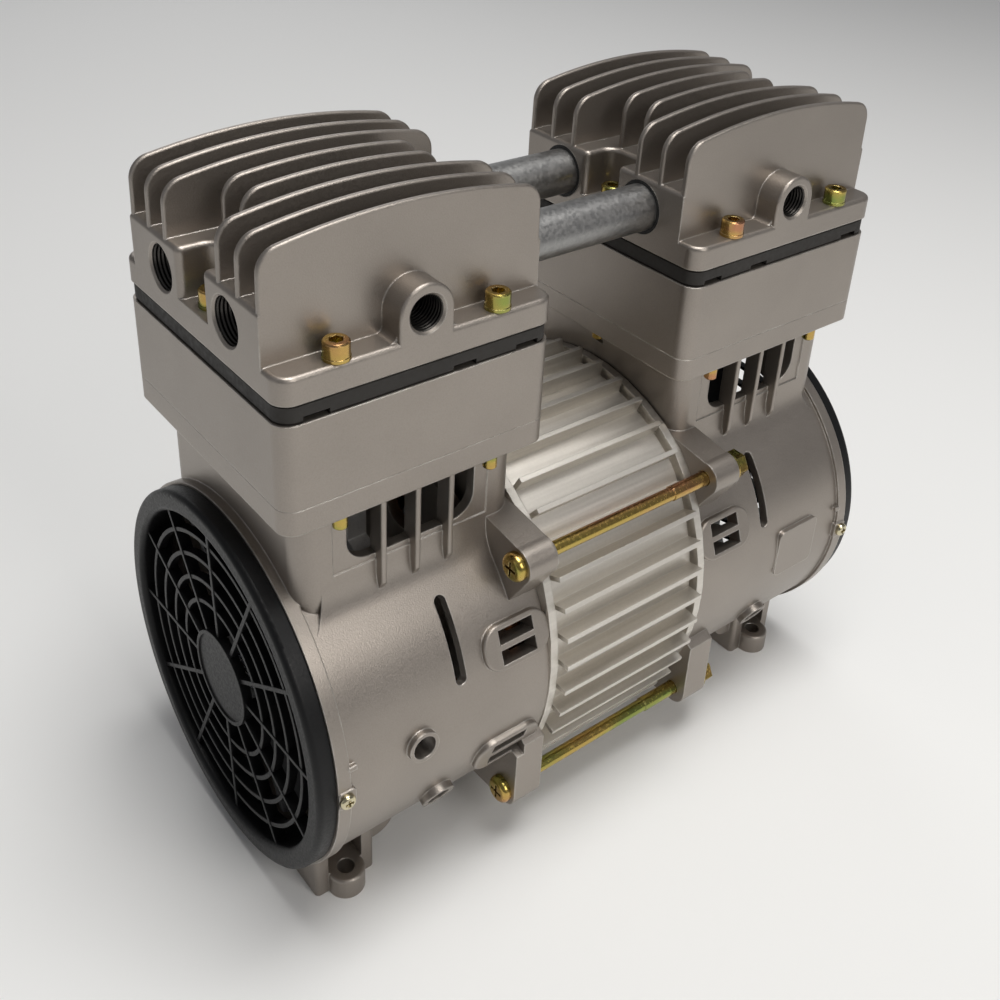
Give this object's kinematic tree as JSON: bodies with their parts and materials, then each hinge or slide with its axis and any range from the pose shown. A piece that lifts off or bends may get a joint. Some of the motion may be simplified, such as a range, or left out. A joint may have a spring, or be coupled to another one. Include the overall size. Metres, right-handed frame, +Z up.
{
  "type": "air compressor",
  "caption": "Oil-free piston air compressor with a finned motor between twin cylinders, finned heads, crossover pipes, guarded fans and bolt-down feet.",
  "frame": {"origin": "centre of the footprint, on the plane of the feet", "axes": "+X along the motor shaft towards the right-hand cylinder, +Z up, -Y is the side with the threaded bosses"},
  "size_m": [0.276, 0.1538, 0.2695],
  "materials": {
    "cast_casing": "die cast, with satin silver-grey paint",
    "cast_head": "die cast, with satin silver-grey paint",
    "bare_aluminium": "bare extruded",
    "guard_plastic": "black, moulded",
    "fan_plastic": "black, moulded",
    "gasket": "dark fibre gasket",
    "valve_steel": "darkened steel",
    "spring_steel": "blued spring steel",
    "machined_steel": "machined",
    "sleeve_aluminium": "hard anodised bore",
    "rod_aluminium": "as cast",
    "cup_polymer": "filled polymer",
    "yellow_zinc": "yellow passivated zinc",
    "bright_zinc": "bright zinc",
    "seal_rubber": "black",
    "pipe_steel": "galvanised",
    "core_steel": "laminated",
    "winding_copper": "enamelled copper"
  },
  "bodies": {
    "frame": {"front_crossover_pipe": "pipe_steel", "guard_screws": "bright_zinc", "head_bolt_washers": "yellow_zinc", "left_crankcase": "cast_casing", "left_cylinder_block": "cast_casing", "left_cylinder_head": "cast_head", "left_cylinder_sleeve": "sleeve_aluminium", "left_fan_guard": "guard_plastic", "left_gaskets": "gasket", "left_head_bolts": "yellow_zinc", "left_main_bearing": "machined_steel", "left_reed_stop": "spring_steel", "left_valve_plate": "valve_steel", "pipe_seals": "seal_rubber", "rear_crossover_pipe": "pipe_steel", "reed_screws": "machined_steel", "right_crankcase": "cast_casing", "right_cylinder_block": "cast_casing", "right_cylinder_head": "cast_head", "right_cylinder_sleeve": "sleeve_aluminium", "right_fan_guard": "guard_plastic", "right_gaskets": "gasket", "right_head_bolts": "yellow_zinc", "right_main_bearing": "machined_steel", "right_reed_stop": "spring_steel", "right_valve_plate": "valve_steel", "stator_core": "core_steel", "stator_housing": "bare_aluminium", "stator_windings": "winding_copper", "tie_bolts": "yellow_zinc", "tie_nuts": "yellow_zinc", "tie_washers": "yellow_zinc"},
    "shaft": {"motor_shaft": "machined_steel", "rotor_core": "core_steel", "left_eccentric": "machined_steel", "right_eccentric": "machined_steel", "left_rod_bearing": "machined_steel", "right_rod_bearing": "machined_steel", "left_cooling_fan": "fan_plastic", "right_cooling_fan": "fan_plastic", "fan_clips": "spring_steel"},
    "left_piston": {"left_connecting_rod": "rod_aluminium", "left_piston_cup": "cup_polymer", "left_cup_retainer": "rod_aluminium", "left_retainer_screws": "machined_steel"},
    "left_intake_valve": {"left_intake_reed": "spring_steel"},
    "left_discharge_valve": {"left_discharge_reed": "spring_steel"},
    "right_piston": {"right_connecting_rod": "rod_aluminium", "right_piston_cup": "cup_polymer", "right_cup_retainer": "rod_aluminium", "right_retainer_screws": "machined_steel"},
    "right_intake_valve": {"right_intake_reed": "spring_steel"},
    "right_discharge_valve": {"right_discharge_reed": "spring_steel"}
  },
  "joints": [
    {"name": "shaft_spin", "type": "hinge", "parent": "frame", "child": "shaft", "pos_m": [0, 0, 0.0785], "axis": [1, 0, 0], "continuous": true},
    {"name": "left_piston_stroke", "type": "slide", "parent": "frame", "child": "left_piston", "axis": [0, 0, 1], "range_m": [-0.016, 0]},
    {"name": "right_piston_stroke", "type": "slide", "parent": "frame", "child": "right_piston", "axis": [0, 0, 1], "range_m": [0, 0.016]},
    {"name": "left_intake_open", "type": "hinge", "parent": "frame", "child": "left_intake_valve", "pos_m": [-0.084, 0.0055, 0.2133], "axis": [1, 0, 0], "range_deg": [-3, 0], "stiffness_Nm_per_rad": 0.05},
    {"name": "left_discharge_open", "type": "hinge", "parent": "frame", "child": "left_discharge_valve", "pos_m": [-0.084, -0.033, 0.2193], "axis": [1, 0, 0], "range_deg": [0, 3], "stiffness_Nm_per_rad": 0.05},
    {"name": "right_intake_open", "type": "hinge", "parent": "frame", "child": "right_intake_valve", "pos_m": [0.084, 0.0055, 0.2133], "axis": [1, 0, 0], "range_deg": [-3, 0], "stiffness_Nm_per_rad": 0.05},
    {"name": "right_discharge_open", "type": "hinge", "parent": "frame", "child": "right_discharge_valve", "pos_m": [0.084, -0.033, 0.2193], "axis": [1, 0, 0], "range_deg": [0, 3], "stiffness_Nm_per_rad": 0.05}
  ],
  "couplings": [
    {"joint": "right_piston_stroke", "follows": "left_piston_stroke", "ratio": -1}
  ]
}
